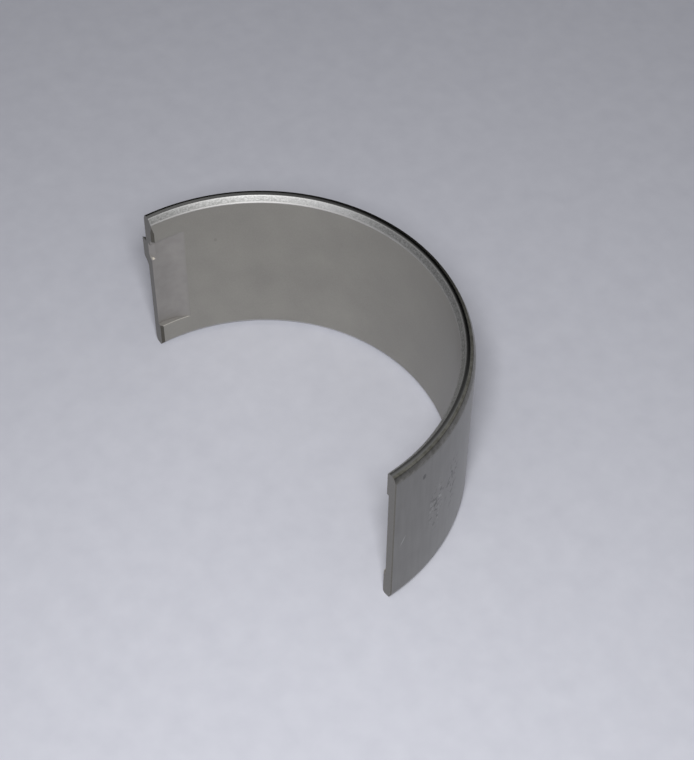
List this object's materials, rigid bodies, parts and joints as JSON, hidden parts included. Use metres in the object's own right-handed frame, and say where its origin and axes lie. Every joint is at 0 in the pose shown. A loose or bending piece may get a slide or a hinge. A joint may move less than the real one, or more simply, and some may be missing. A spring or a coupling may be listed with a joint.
{
  "type": "engine bearing shell",
  "caption": "Half-round plain engine bearing shell with chamfered edges, a locating tang on its back and a shallow oil relief at each parting face.",
  "frame": {"origin": "on the bore axis, at half the shell's width", "axes": "+Z along the bore axis, from the edge that the shell stands on to the edge near the tang; +Y from the axis to the crown; +X to the end without the tang"},
  "size_m": [0.0581, 0.0277, 0.026],
  "materials": {
    "bearing_metal": "matt grey lining and back, with bright machined edges"
  },
  "bodies": {
    "root": {"bearing_shell": "bearing_metal"}
  },
  "joints": []
}
